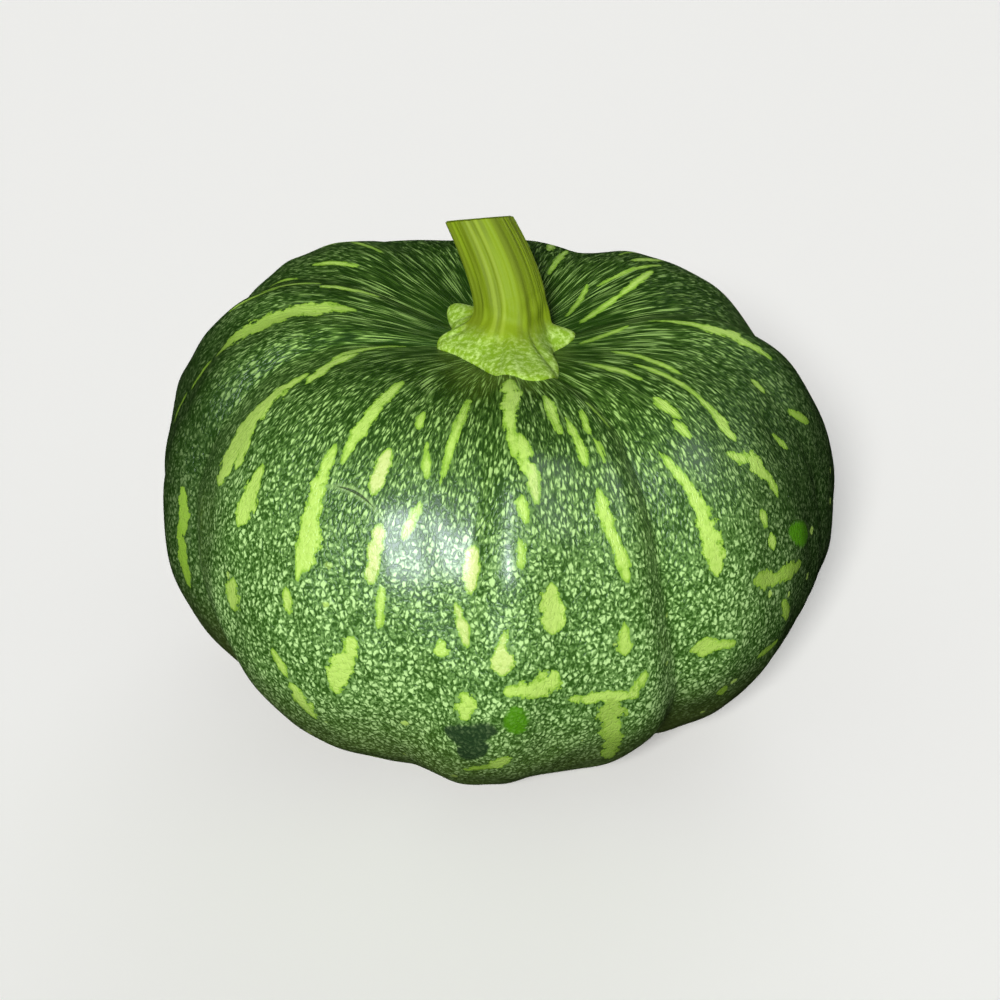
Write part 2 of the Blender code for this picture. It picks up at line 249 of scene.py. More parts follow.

# %% [markdown]
# The pale marks of a squash are of two kinds. The big ones are splashes: lime tongues that run down from the
# stem, thin at their tail and wide at their head, and blobs lower down. Each is one line here: its two ends
# as azimuth and polar fraction, its greatest width in mm, where along it is widest, and its tint, from -1 for
# an olive to 1 for cream. The olive end also paints shade on splashes on the sides and low down. A long or
# bent one takes two or three lines that overlap.

# %% The big splashes, as seen from the front
SPLASHES = [
    # the left shoulder and the back left
    (-91, 0.085, -88, 0.20, 4.6, 0.6, -0.4), (-88, 0.15, -87, 0.27, 5.0, 0.35, -0.5),
    (-88, 0.28, -87, 0.33, 1.2, 0.5, -0.6), (-102, 0.125, -106, 0.07, 1.8, 0.3, 0.0),
    (-103, 0.205, -105, 0.13, 1.4, 0.5, -0.3), (-118, 0.17, -120, 0.11, 1.4, 0.5, -0.3),
    (-69, 0.05, -60, 0.13, 1.7, 0.7, 0.0), (-60, 0.10, -54, 0.178, 3.0, 0.6, 0.1),
    (-58, 0.165, -58, 0.29, 5.6, 0.65, 0.1), (-60, 0.23, -57, 0.355, 7.4, 0.6, 0.1),
    (-56, 0.26, -54, 0.32, 4.0, 0.6, 0.1), (-47, 0.29, -47, 0.375, 5.4, 0.6, 0.1),
    (-32, 0.11, -31, 0.19, 2.6, 0.6, 0.1), (-31, 0.16, -31, 0.25, 2.6, 0.4, 0.1),
    (-34, 0.23, -32, 0.40, 3.6, 0.5, 0.1), (-33, 0.30, -31, 0.385, 5.2, 0.55, 0.2),
    (-88, 0.345, -88, 0.39, 1.6, 0.5, -0.6), (-72, 0.42, -70, 0.48, 3.6, 0.5, -0.7),
    (-71, 0.47, -67, 0.555, 2.6, 0.4, -0.8),
    # the front left
    (-23, 0.215, -23, 0.275, 3.2, 0.5, 0.8), (-10, 0.11, -11, 0.245, 1.7, 0.45, 0.0),
    (-20, 0.15, -19, 0.18, 1.6, 0.6, 0.2), (-16, 0.195, -14, 0.24, 1.3, 0.6, 0.3),
    (-14, 0.27, -16, 0.32, 1.9, 0.5, 0.3), (-20, 0.305, -20, 0.38, 3.4, 0.5, 0.9),
    (-18, 0.38, -18, 0.43, 1.9, 0.5, 0.2), (-4, 0.315, -4, 0.375, 3.4, 0.5, 0.9),
    (-6, 0.39, -4, 0.44, 2.2, 0.5, 0.7),
    # the front
    (3, 0.065, 2, 0.17, 3.6, 0.45, 0.1), (2, 0.15, 3, 0.205, 2.0, 0.3, 0.0), (4, 0.17, 6, 0.235, 3.4, 0.6, 0.1),
    (6, 0.21, 7, 0.265, 2.6, 0.3, 0.5), (4, 0.255, 5, 0.29, 2.4, 0.3, 0.2), (4, 0.305, 4, 0.34, 1.8, 0.5, 0.3),
    (14, 0.10, 14, 0.17, 2.0, 0.6, 0.0), (17, 0.145, 18, 0.22, 1.9, 0.6, 0.0),
    (22, 0.135, 21, 0.175, 1.3, 0.7, -0.1), (26, 0.12, 28, 0.165, 0.9, 0.5, 0.0),
    (22, 0.185, 22, 0.22, 0.9, 0.5, 0.1), (19, 0.25, 20, 0.32, 2.6, 0.5, 0.1),
    (20, 0.30, 22, 0.37, 2.6, 0.5, 0.2), (9, 0.36, 9, 0.42, 5.6, 0.5, 0.3), (2, 0.41, 1, 0.44, 1.6, 0.5, 0.6),
    (1, 0.43, 2, 0.465, 4.6, 0.5, 0.6), (-8, 0.435, -8, 0.458, 2.8, 0.5, 0.2),
    # the right shoulder and the back right
    (114, 0.035, 121, 0.075, 1.3, 0.6, 0.1), (120, 0.07, 128, 0.13, 1.9, 0.6, 0.0),
    (126, 0.03, 138, 0.065, 0.9, 0.6, 0.0), (79, 0.03, 90, 0.062, 1.1, 0.5, 0.0),
    (66, 0.058, 62, 0.10, 1.2, 0.5, 0.1), (62, 0.09, 59, 0.14, 1.3, 0.5, 0.1),
    (49, 0.05, 48, 0.115, 1.6, 0.6, 0.1), (56, 0.09, 54, 0.18, 1.4, 0.6, 0.2),
    (54, 0.17, 54, 0.25, 3.0, 0.7, 0.1), (92, 0.08, 86, 0.15, 1.6, 0.7, 0.0),
    (87, 0.13, 86, 0.20, 4.4, 0.5, -0.1), (86, 0.18, 86, 0.23, 2.2, 0.4, -0.3),
    (44, 0.15, 45, 0.19, 2.6, 0.4, 0.1), (43, 0.19, 44, 0.22, 2.0, 0.5, 0.1),
    (74, 0.215, 74, 0.238, 2.6, 0.5, -0.2), (76, 0.28, 80, 0.32, 1.6, 0.5, -0.6),
    (66, 0.28, 68, 0.31, 1.8, 0.5, -0.5), (50, 0.26, 55, 0.285, 2.8, 0.6, -0.1),
    (54, 0.275, 57, 0.315, 4.4, 0.4, -0.3), (57, 0.305, 58, 0.345, 2.2, 0.4, -0.3),
    (36, 0.22, 38, 0.27, 2.0, 0.7, 0.2), (38, 0.26, 40, 0.33, 3.2, 0.6, 0.2),
    (39, 0.30, 40, 0.40, 5.0, 0.6, 0.0), (21, 0.42, 21, 0.46, 3.4, 0.7, -0.3),
    (37, 0.485, 38, 0.515, 4.2, 0.4, -0.4), (37, 0.50, 43, 0.505, 3.0, 0.3, -0.4),
    (47, 0.425, 54, 0.445, 3.6, 0.5, -0.5), (53, 0.44, 61, 0.45, 3.6, 0.5, -0.6),
    (55, 0.48, 57, 0.52, 2.6, 0.5, -0.6), (50, 0.555, 56, 0.55, 2.0, 0.5, -0.7),
    (44, 0.59, 45, 0.61, 2.2, 0.5, -0.8), (52, 0.345, 52, 0.37, 2.2, 0.5, -0.2),
    (53, 0.38, 53, 0.40, 2.4, 0.5, -0.2),
    # low on the front and the left
    (2, 0.488, 8, 0.495, 3.4, 0.4, 0.0), (6, 0.495, 10, 0.47, 4.4, 0.6, -0.1),
    (12, 0.513, 24, 0.53, 3.2, 0.5, -0.1), (22, 0.53, 25, 0.49, 2.2, 0.4, -0.2),
    (19, 0.52, 21, 0.61, 5.6, 0.4, -0.5), (20, 0.57, 23, 0.68, 4.2, 0.4, -0.6),
    (3, 0.605, 1, 0.635, 4.2, 0.5, -0.4), (1, 0.63, -4, 0.645, 2.2, 0.5, -0.6),
    (-4, 0.495, -4, 0.54, 4.8, 0.5, 0.1), (-46, 0.44, -46, 0.485, 5.8, 0.6, 0.0),
    (-34, 0.415, -33, 0.445, 2.8, 0.5, 0.3), (-36, 0.505, -34, 0.54, 2.4, 0.5, 0.0),
    (-33, 0.55, -30, 0.605, 4.6, 0.4, -0.1), (-22, 0.45, -23, 0.49, 3.8, 0.5, 0.2),
    (-23, 0.47, -25, 0.54, 5.6, 0.5, 0.2),
]
print("splashes set by hand:", len(SPLASHES))

# %% [markdown]
# The back and the underside carry splashes too. They are drawn by one seeded rule: thin tongues by the stem,
# broad ones over the shoulder, blobs on the belly. A seeded draw gives the same fruit on every run.

# %% Splashes on the sides that the front doesn't show
FRONT_REACH = 100.0
CROWN_REACH_MORE, CROWN_LOWEST = 28.0, 0.16
FRONT_LOWEST = 0.66
# Count, then the least and greatest polar fraction, length as such a fraction, and width in mm
BANDS = [(30, 0.06, 0.20, 0.05, 0.11, 0.9, 2.4), (44, 0.20, 0.44, 0.04, 0.12, 1.6, 5.0),
         (70, 0.44, 0.86, 0.02, 0.06, 1.8, 5.6)]


def hidden_splashes(seed):
    """Random splashes in three bands of polar fraction, kept out of the part whose splashes are listed."""
    rng = np.random.default_rng(seed)
    drawn = []
    for count, first, last, shortest, longest, narrow, broad in BANDS:
        for _ in range(count):
            start, place = rng.uniform(first, last), rng.uniform(-180, 180)
            reach = rng.uniform(shortest, longest)
            width = narrow + (broad - narrow) * rng.random() ** 1.6
            widest, lean, tint = rng.uniform(0.45, 0.7), rng.uniform(-2.5, 2.5), rng.uniform(-0.4, 0.6)
            back = abs(place) > FRONT_REACH + CROWN_REACH_MORE * (start < CROWN_LOWEST)
            if back or start > FRONT_LOWEST:
                drawn.append((place, start, place + lean, start + reach, width, widest, tint))
    return drawn


all_splashes = SPLASHES + hidden_splashes(seed=11)
print("splashes in all:", len(all_splashes))

# %% [markdown]
# A splash is stored on the mesh as a distance: how many millimetres a point lies inside its edge, or outside
# it where the number is below zero. The shader cuts the mark out where that distance, roughened by noise,
# crosses zero. So its edge stays crisp and ragged however close the camera comes, which a painted colour on
# the same points would not.

# %% Distance to the nearest splash
HEAD_ROUNDNESS = 0.5
SOFT_RIM = 0.35
FAR_OUTSIDE = -50.0


def meridian_length(places):
    """Length in mm from the stem end down each column of a grid of places."""
    steps = np.linalg.norm(np.diff(places, axis=0), axis=2) / MM
    return np.concatenate([np.zeros((1, places.shape[1])), np.cumsum(steps, axis=0)])


def splash_outline(along, widest):
    """Half width, as a share of the greatest, of a mark with a sharp tail, a round head and its widest place
    at that share of its length: two powers whose product peaks there."""
    tail = HEAD_ROUNDNESS * widest / (1 - widest)
    return (along / widest) ** tail * ((1 - along) / (1 - widest)) ** HEAD_ROUNDNESS


def splash_distance(splashes):
    """Greatest distance inside any splash at each point, in mm, that splash's tint and its half width there.
    Each splash is a spine on the rind, unrolled to mm round and down it. The distance is its half width at the
    nearest place of the spine, plus a soft rim, less how far off that place the point lies."""
    inside = np.full(AZ.shape, FAR_OUTSIDE)
    tint, size = np.zeros(AZ.shape), np.zeros(AZ.shape)
    for first, start, second, end, width, widest, colour in splashes:
        ends = [np.interp(place, polar, down[:, column_of(turn)]) for turn, place in ((first, start), (second, end))]
        middle_radius = np.interp((start + end) / 2, polar, radius[:, column_of(first)]) / MM
        turned = (AZ - first + 180) % 360 - 180
        span = np.radians(second - first) * middle_radius
        drop = ends[1] - ends[0]
        along = np.clip((np.radians(turned) * middle_radius * span + (down - ends[0]) * drop)
                        / (span ** 2 + drop ** 2), 0, 1)
        aside = np.radians(turned - along * (second - first)) * radius / MM
        below = down - ends[0] - along * drop
        half_width = width / 2 * splash_outline(along, widest)
        found = half_width + SOFT_RIM - np.hypot(aside, below)
        nearer = found > inside
        inside = np.where(nearer, found, inside)
        tint = np.where(nearer, colour, tint)
        size = np.where(nearer, half_width, size)
    return inside, tint, size


def column_of(turn):
    """The grid column nearest to an azimuth."""
    return int(round((turn + 180.0) / 360.0 * COLUMNS)) % COLUMNS


down = meridian_length(rind)
inside, tint, size = splash_distance(all_splashes)
print("share of the rind under splashes:", round(float((inside > 0).mean()), 3))

# %% [markdown]
# The small flecks are drawn out into fine lines near the stem and turn into short worms further down. Noise
# can do that if its own space is stretched the same way. So each point carries its direction round the fruit
# and a length down it that runs slowly near the stem, where the noise is drawn long, and faster further down.

# %% Where the noise is read
STRETCH_LEAST = 1.5
STRETCH_MORE = 5.0
STRETCH_REACH = 52.0

stretch = STRETCH_LEAST + STRETCH_MORE * np.exp(-(down / STRETCH_REACH) ** 2)
steps = np.diff(down, axis=0) / ((stretch[1:] + stretch[:-1]) / 2)
flow_length = np.concatenate([np.zeros((1, COLUMNS)), np.cumsum(steps, axis=0)])
rind_flow = np.stack([np.sin(np.radians(AZ)), -np.cos(np.radians(AZ)), flow_length], axis=-1)
furrow_depth = rib_offset(AZ, PO)[1] / MM * np.sin(np.pi * PO)
print("length of the rind in mm:", round(down[-1].mean(), 1), "and in the noise's space:",
      round(flow_length[-1].mean(), 1))

# %% [markdown]
# Three single marks tell this squash from the next: a dark curved nick, a smooth dark patch low at the front
# and a bright green spot beside it. The patch and the spot are distances, as the splashes are. The nick is
# finer than the mesh, so each point carries its place in mm beside the nick, and the shader draws the line.

# %% Single marks on the rind
NICK = (-26.0, 0.280)
DARK_PATCHES = [(-7, 0.565, 1, 0.555, 8.0, 0.5, 0.0), (-5, 0.60, 0, 0.585, 8.0, 0.5, 0.0)]
GREEN_SPOTS = [(4, 0.51, 4, 0.56, 5.4, 0.5, 0.0), (58, 0.395, 66, 0.43, 6.0, 0.5, 0.0)]


def beside(turn, place):
    """Millimetres round and down the rind from one place on it."""
    around = np.radians((AZ - turn + 180) % 360 - 180) * radius / MM
    return around, down - np.interp(place, polar, down[:, column_of(turn)])


nick_around, nick_down = beside(*NICK)
nick_place = np.stack([nick_around, nick_down, 0 * nick_down], axis=-1)
patch = splash_distance(DARK_PATCHES)[0]
spot = splash_distance(GREEN_SPOTS)[0]
print("marks:", len(DARK_PATCHES), "patches,", len(GREEN_SPOTS), "green spots and one nick")

# %% Make the fruit
fruit = skin_mesh("squash_fruit", rind, {
    "rind_flow": rind_flow,
    "polar": PO,
    "down": down,
    "splash_size": size,
    "splash": np.stack([inside, tint, furrow_depth], axis=-1),
    "marks": np.stack([patch, spot, radius / MM], axis=-1),
    "nick": nick_place,
})
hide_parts("fruit")
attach(fruit, "root")
print("fruit:", len(fruit.data.polygons), "faces")

# %% [markdown]
# The stem is a loft: rings carried along a bent middle line. The lobes of its foot run up it as ridges, and
# they draw in from the rind upwards in a bell curve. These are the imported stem's own sizes. Finer ribs,
# fibres and lumps are added to them here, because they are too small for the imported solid.

# %% The stem's middle line and lobes
STEM_PATH = np.array([(1, 0, 0), (3, 0, 10), (-1, 6, 18), (-8, 12.5, 29)]) * MM
SHANK_RADIUS = 9.4 * MM
CUT_RADIUS = 7.4 * MM
CUT_NORMAL = np.array([-0.12, 0.41, 0.90])
CUT_NORMAL /= np.linalg.norm(CUT_NORMAL)
FOOT_HEIGHT = 12 * MM
FOOT_SHARE = 0.42
FOOT_SPREAD_LEAST = 1.5 * MM
FLARE_CLIMB = 0.42
FLARE_POWER = 2.2
CROWN_POLAR = 0.3
LOBES = [(-132, 7.5), (-68, 6.0), (-32, 4.0), (5, 10.0), (25, 12.0), (92, 6.5), (150, 6.0)]
LOBE_HALF_WIDTH = 26.0
RIDGE_HALF_WIDTH = 13.0
RIDGE_HEIGHT = 0.8 * MM


def around_places(azimuth, places, half_width):
    """Sum of bell curves about some azimuths, each as (azimuth, amount)."""
    total = np.zeros_like(azimuth)
    for middle, amount in places:
        away = (azimuth - middle + 180) % 360 - 180
        total += amount * np.exp(-(away / half_width) ** 2)
    return total


def stem_frame(share):
    """The Bezier middle line at each share of its length, its direction, and the two directions across it."""
    t = share[..., None]
    start, lower, upper, end = STEM_PATH
    middle = start * (1 - t) ** 3 + 3 * lower * t * (1 - t) ** 2 + 3 * upper * t ** 2 * (1 - t) + end * t ** 3
    along = (lower - start) * (1 - t) ** 2 + 2 * (upper - lower) * t * (1 - t) + (end - upper) * t ** 2
    along /= np.linalg.norm(along, axis=-1, keepdims=True)
    right = np.array([1.0, 0, 0]) - along * along[..., :1]
    right /= np.linalg.norm(right, axis=-1, keepdims=True)
    return middle, along, right, np.cross(along, right)


def rind_height(azimuth, radius):
    """Height of the crown's rind at a radius: each azimuth's own profile, read at that radius."""
    places = np.linspace(0, CROWN_POLAR, PROFILE_SAMPLES)
    out = np.empty_like(radius)
    for column in range(azimuth.shape[1]):
        profile = rind_point(np.full_like(places, azimuth[0, column]), places)
        out[:, column] = np.interp(radius[:, column], *profile)
    return out


print("stem: middle line of", len(STEM_PATH), "points and", len(LOBES), "lobes")

# %% [markdown]
# Up close, a squash stem is fibrous. Narrow pale cords run its whole length, with olive grooves between, and
# the foot is fleshy and lumpy. The cords are a list of azimuths, so that the same list can raise them in the
# mesh and paint them pale in the shader.

# %% The stem's side, from the rind to the cut
CORDS = [(-158, 0.6), (-128, 0.8), (-100, 0.7), (-70, 0.5), (-44, 0.6), (-22, 1.0), (-8, 0.9), (16, 0.5),
         (44, 0.7), (66, 0.6), (92, 0.8), (122, 0.6), (148, 0.7), (174, 0.5)]
CORD_HALF_WIDTH = 5.0
CORD_HEIGHT = 0.26 * MM
FIBRES = 36
FIBRE_HEIGHT = 0.05 * MM
FIBRE_SWAY, FIBRE_SWAYS, FIBRE_TWIST = 2.0, 5, 3
LUMP_HEIGHT = 0.25 * MM
LUMP_SHORTEST, LUMP_LONGEST, LUMP_WAVES = 4 * MM, 9 * MM, 30
STEM_COLUMNS = 288
FOOT_ROWS = 56
SHANK_ROWS = 80


def stem_side(azimuth, share):
    """The shank is a ridged circle round the middle line. Over the first part of its length it blends, by a
    smooth step, into the foot, whose lobes draw in upwards in a bell curve of the height."""
    middle, along, right, back = stem_frame(share)
    ridge = RIDGE_HEIGHT * around_places(azimuth, [(turn, 1.0) for turn, _ in LOBES], RIDGE_HALF_WIDTH)
    cords = CORD_HEIGHT * around_places(azimuth, CORDS, CORD_HALF_WIDTH)
    girth = SHANK_RADIUS + (CUT_RADIUS - SHANK_RADIUS) * share + ridge
    angle = np.radians(azimuth)[..., None]
    outwards = np.sin(angle) * right - np.cos(angle) * back
    shank = middle + (girth + cords)[..., None] * outwards
    climb = np.clip(share / FOOT_SHARE, 0, 1)
    spread = FOOT_SPREAD_LEAST + around_places(azimuth, [(t, reach * MM) for t, reach in LOBES], LOBE_HALF_WIDTH)
    foot_radius = SHANK_RADIUS + ridge + spread * np.exp(-(climb / FLARE_CLIMB) ** FLARE_POWER)
    lift = rind_height(azimuth, foot_radius) - rind_height(azimuth[:1], 0 * foot_radius[:1])
    foot = polar_to_xyz(azimuth, foot_radius, lift + FOOT_HEIGHT * climb)
    blend = (climb ** 2 * (3 - 2 * climb))[..., None]
    return foot * (1 - blend) + shank * blend, along, outwards


stem_turns = np.arange(STEM_COLUMNS) * 360.0 / STEM_COLUMNS - 180.0
stem_shares = np.concatenate([np.linspace(0, FOOT_SHARE, FOOT_ROWS, endpoint=False),
                              np.linspace(FOOT_SHARE, 1, SHANK_ROWS)])
SAZ, SHARE = np.meshgrid(stem_turns, stem_shares)
side, along, outwards = stem_side(SAZ, SHARE)
stem_axis_height = rind_point(np.zeros(1), np.zeros(1))[1][0]
origin = shift + np.array([0, 0, stem_axis_height])
fleshy = np.clip(1 - SHARE / FOOT_SHARE, 0, 1)
turns = np.radians(SAZ)
fibres = np.cos(turns * FIBRES + FIBRE_SWAY * np.sin(turns * FIBRE_SWAYS) + SHARE * FIBRE_TWIST)
fibres = fibres * (1 - fleshy) * FIBRE_HEIGHT
lumps = soft_waves(side, LUMP_SHORTEST, LUMP_LONGEST, LUMP_WAVES, seed=5) * LUMP_HEIGHT
lumps = lumps * np.sin(np.pi * fleshy) ** 0.5
side += outwards * (fibres + lumps)[..., None]
print("stem side:", side.shape)

# %% [markdown]
# The stem was cut with a knife, on a slant. The side is slid along the stem onto the plane of the cut. The
# face of the cut sinks a little to its drying pith, inside a firm rim. At the other end the skin turns in
# under the foot, just below the rind, so that the foot is seated and no gap shows.

# %% The cut face and the seat
CUT_BEVEL = 0.5 * MM
CUT_RINGS = 14
PITH_DEPTH = 0.9 * MM
PITH_WIDTH = 0.45
SEAT_SINK = 1.2 * MM


def onto_cut(places, along):
    """Places slid along the stem onto the plane of the cut."""
    far = (STEM_PATH[-1] - places) @ CUT_NORMAL / (along @ CUT_NORMAL)
    return places + along * far[..., None]


rim = onto_cut(side[-1], along[-1])
slide = np.clip((SHARE - FOOT_SHARE) / (1 - FOOT_SHARE), 0, 1) ** 2
side += ((rim - side[-1])[None] * slide[..., None])
side[-1] -= along[-1] * CUT_BEVEL
inward = np.linspace(0, 1, CUT_RINGS)[:, None, None]
face = rim + (STEM_PATH[-1] - rim) * (CUT_BEVEL / CUT_RADIUS + (1 - CUT_BEVEL / CUT_RADIUS) * inward)
hollow = PITH_DEPTH * np.exp(-((1 - inward) / PITH_WIDTH) ** 2)
face -= CUT_NORMAL * hollow
seat = np.stack([side[0] - (0, 0, SEAT_SINK), np.zeros_like(side[0]) - (0, 0, 4 * SEAT_SINK)])
stem_grid = np.concatenate([seat[::-1], side, face]) + origin
stem_grid = stem_grid[::-1]
print("stem grid:", stem_grid.shape, "top in mm:", round(stem_grid[..., 2].max() / MM, 1))

# %% Make the stem
rows_before, rows_after = len(seat), len(face)
pad = lambda values, before, after: np.concatenate([np.full((rows_before, STEM_COLUMNS), before), values,
                                                    np.full((rows_after, STEM_COLUMNS), after)])[::-1]
stem_length = np.linalg.norm(np.diff(stem_frame(np.linspace(0, 1, 50))[0], axis=0), axis=1).sum() / MM
paleness = around_places(SAZ, CORDS, CORD_HALF_WIDTH)
stem_flow = np.stack([pad(np.sin(np.radians(SAZ)), 0, 0), pad(-np.cos(np.radians(SAZ)), 0, 0),
                      pad(SHARE * stem_length, 0, stem_length)], axis=-1)
cut_amount = np.concatenate([np.zeros((rows_before + len(side), STEM_COLUMNS)),
                             np.broadcast_to(inward[..., 0], face.shape[:2]) * 0.9 + 0.1])[::-1]
stem = skin_mesh("squash_stem", stem_grid, {
    "stem_flow": stem_flow,
    "stem_place": np.stack([pad(SHARE, 0, 1), pad(paleness, 0, 0), cut_amount], axis=-1),
})
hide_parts("stem")
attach(stem, "root")
print("stem:", len(stem.data.polygons), "faces")

# %% [markdown]
# Materials are built from a few kinds of node over and over. A small workbench that adds a node, feeds it
# sockets or plain values and gives back its output keeps each recipe readable from top to bottom.

# %% A workbench for shader nodes
class Bench:
    """Adds nodes to one new material. Every argument may be a socket or a plain value."""

    def __init__(self, name):
        self.material = bpy.data.materials.new(name)
        self.material.use_nodes = True
        self.nodes = self.material.node_tree.nodes
        self.links = self.material.node_tree.links
        self.shader = self.nodes["Principled BSDF"]

    def feed(self, socket, value):
        if isinstance(value, bpy.types.NodeSocket):
            self.links.new(value, socket)
        else:
            socket.default_value = value

    def dress(self, **sockets):
        """Feeds the shader's sockets, named with underscores for spaces."""
        for name, value in sockets.items():
            self.feed(self.shader.inputs[name.replace("_", " ")], value)

    def attribute(self, name):
        """The vector of a mesh attribute, and its three parts."""
        node = self.nodes.new("ShaderNodeAttribute")
        node.attribute_name = name
        parts = self.nodes.new("ShaderNodeSeparateXYZ")
        self.links.new(node.outputs["Vector"], parts.inputs[0])
        return node.outputs["Vector"], *parts.outputs

    def number(self, name):
        """The single number of a mesh attribute."""
        node = self.nodes.new("ShaderNodeAttribute")
        node.attribute_name = name
        return node.outputs["Fac"]

    def maths(self, operation, first, second=0.0):
        node = self.nodes.new("ShaderNodeMath")
        node.operation = operation
        self.feed(node.inputs[0], first)
        self.feed(node.inputs[1], second)
        return node.outputs[0]

    def scaled(self, place, scale):
        """A place stretched by three factors."""
        node = self.nodes.new("ShaderNodeMapping")
        self.feed(node.inputs["Vector"], place)
        node.inputs["Scale"].default_value = scale
        return node.outputs[0]

    def object_place(self):
        return self.nodes.new("ShaderNodeTexCoord").outputs["Object"]

    def warped(self, place, scale, amount):
        """A place pushed about by a coloured noise of its own, by up to half the amount each way."""
        node = self.nodes.new("ShaderNodeTexNoise")
        self.feed(node.inputs["Vector"], place)
        node.inputs["Scale"].default_value = scale
        node.inputs["Detail"].default_value = 1.0
        push = self.nodes.new("ShaderNodeVectorMath")
        push.operation = "MULTIPLY_ADD"
        self.feed(push.inputs[0], node.outputs["Color"])
        push.inputs[1].default_value = (amount, amount, amount)
        self.feed(push.inputs[2], place)
        return push.outputs[0]

    def cells(self, place, scale):
        """Cells scattered at random: how far inside its cell a point lies, and a random number of the cell."""
        edge = self.nodes.new("ShaderNodeTexVoronoi")
        edge.feature = "DISTANCE_TO_EDGE"
        core = self.nodes.new("ShaderNodeTexVoronoi")
        for node in (edge, core):
            self.feed(node.inputs["Vector"], place)
            node.inputs["Scale"].default_value = scale
        parts = self.nodes.new("ShaderNodeSeparateColor")
        self.feed(parts.inputs[0], core.outputs["Color"])
        return edge.outputs["Distance"], parts.outputs[0]

    def dots(self, place, scale):
        """Dots scattered at random: the distance to the nearest one, and a random number of it."""
        node = self.nodes.new("ShaderNodeTexVoronoi")
        self.feed(node.inputs["Vector"], place)
        node.inputs["Scale"].default_value = scale
        parts = self.nodes.new("ShaderNodeSeparateColor")
        self.feed(parts.inputs[0], node.outputs["Color"])
        return node.outputs["Distance"], parts.outputs[0]

    def noise(self, place, scale, detail=2.0, roughness=0.5, distortion=0.0):
        node = self.nodes.new("ShaderNodeTexNoise")
        self.feed(node.inputs["Vector"], place)
        self.feed(node.inputs["Scale"], scale)
        node.inputs["Detail"].default_value = detail
        node.inputs["Roughness"].default_value = roughness
        node.inputs["Distortion"].default_value = distortion
        return node.outputs["Fac"]

    def step(self, value, low, high, start=0.0, end=1.0):
        """A smooth step from start to end as the value goes from low to high."""
        node = self.nodes.new("ShaderNodeMapRange")
        node.interpolation_type = "SMOOTHSTEP"
        for socket, given in zip(node.inputs, (value, low, high, start, end)):
            self.feed(socket, given)
        return node.outputs[0]

    def mix(self, factor, first, second):
        """One number on its way to another."""
        node = self.nodes.new("ShaderNodeMix")
        self.feed(node.inputs["Factor"], factor)
        self.feed(node.inputs["A"], first)
        self.feed(node.inputs["B"], second)
        return node.outputs["Result"]

    def tone(self, factor, first, second):
        """One colour on its way to another."""
        node = self.nodes.new("ShaderNodeMix")
        node.data_type = "RGBA"
        for socket, given in zip((node.inputs[0], node.inputs[6], node.inputs[7]), (factor, first, second)):
            self.feed(socket, given)
        return node.outputs[2]

    def bump(self, height, distance, below=None):
        """A normal tilted by a height, whose full step is distance, over another bump."""
        node = self.nodes.new("ShaderNodeBump")
        node.inputs["Distance"].default_value = distance
        self.feed(node.inputs["Height"], height)
        if below is not None:
            self.links.new(below, node.inputs["Normal"])
        return node.outputs[0]


def paint(red, green, blue):
    """A linear colour from screen values of 0 to 255: the inverse of the screen's curve, (v + 0.055) / 1.055
    to the power 2.4."""
    screen = np.array([red, green, blue]) / 255
    linear = np.where(screen > 0.04045, ((screen + 0.055) / 1.055) ** 2.4, screen / 12.92)
    return (*linear.tolist(), 1.0)


print("a pale lime in linear light:", [round(v, 2) for v in paint(190, 230, 120)[:3]])

# %% [markdown]
# The rind's ground is dark green, thick with pale green flecks about a millimetre and a half apart. They lie as
# evenly as the cells of a Voronoi texture, so each fleck is a cell's soft body, a bit paler or darker than the
# next by the cell's random number, and a finer noise gnaws at its outline. Three zones share the work: flecks
# drawn long for the thin lines by the stem, shorter ones on the shoulder, and round ones on the belly. A noise
# frays the border between two zones, and a few millimetres of overlap hide it.

# %% The rind's flecks
CROWN_PLACE = (56, 56, 0.60)
CROWN_LINES = (58, 58, 0.30)
SHOULDER_PLACE = (98, 98, 1.15)
BELLY_PLACE = (1000, 1000, 780)
CELL_SCALE = 0.72
BODY_EDGE = 0.34
FINE_SCALE = 1.2
BODY_SHARE, OWN_SHARE, FINE_SHARE = 0.6, 0.25, 1.6
ZONE_FRAY = 26.0
ZONE_SOFTNESS = 5.0
CROWN_ENDS = 46.0
SHOULDER_ENDS = 90.0


def fleck_level(bench, stretched):
    """Level of the flecks in one stretched space: the soft body of a cell, plus its own random lightness, plus a
    finer noise about zero."""
    within, lightness = bench.cells(bench.warped(stretched, 0.7, 1.6), CELL_SCALE)
    body = bench.step(within, 0.0, BODY_EDGE, 0.0, BODY_SHARE)
    own = bench.maths("MULTIPLY", lightness, OWN_SHARE)
    fine = bench.maths("SUBTRACT", bench.noise(stretched, FINE_SCALE, 1.0, 0.5, 0.3), 0.5)
    return bench.maths("ADD", bench.maths("ADD", body, own), bench.maths("MULTIPLY", fine, FINE_SHARE))


def rind_flecks(bench, place):
    """The level of the flecks over the whole rind, zone by zone, with a frayed border between two zones."""
    flow, *_ = bench.attribute("rind_flow")
    down = bench.number("down")
    fray = bench.maths("MULTIPLY", bench.maths("SUBTRACT", bench.noise(place, 130, 2.0), 0.5), ZONE_FRAY * 2)
    frayed = bench.maths("ADD", down, fray)
    past_crown = bench.step(frayed, CROWN_ENDS - ZONE_SOFTNESS, CROWN_ENDS + ZONE_SOFTNESS)
    past_shoulder = bench.step(frayed, SHOULDER_ENDS - ZONE_SOFTNESS, SHOULDER_ENDS + ZONE_SOFTNESS)
    upper = bench.mix(past_crown, fleck_level(bench, bench.scaled(flow, CROWN_PLACE)),
                      fleck_level(bench, bench.scaled(flow, SHOULDER_PLACE)))
    return bench.mix(past_shoulder, upper, fleck_level(bench, bench.scaled(place, BELLY_PLACE)))


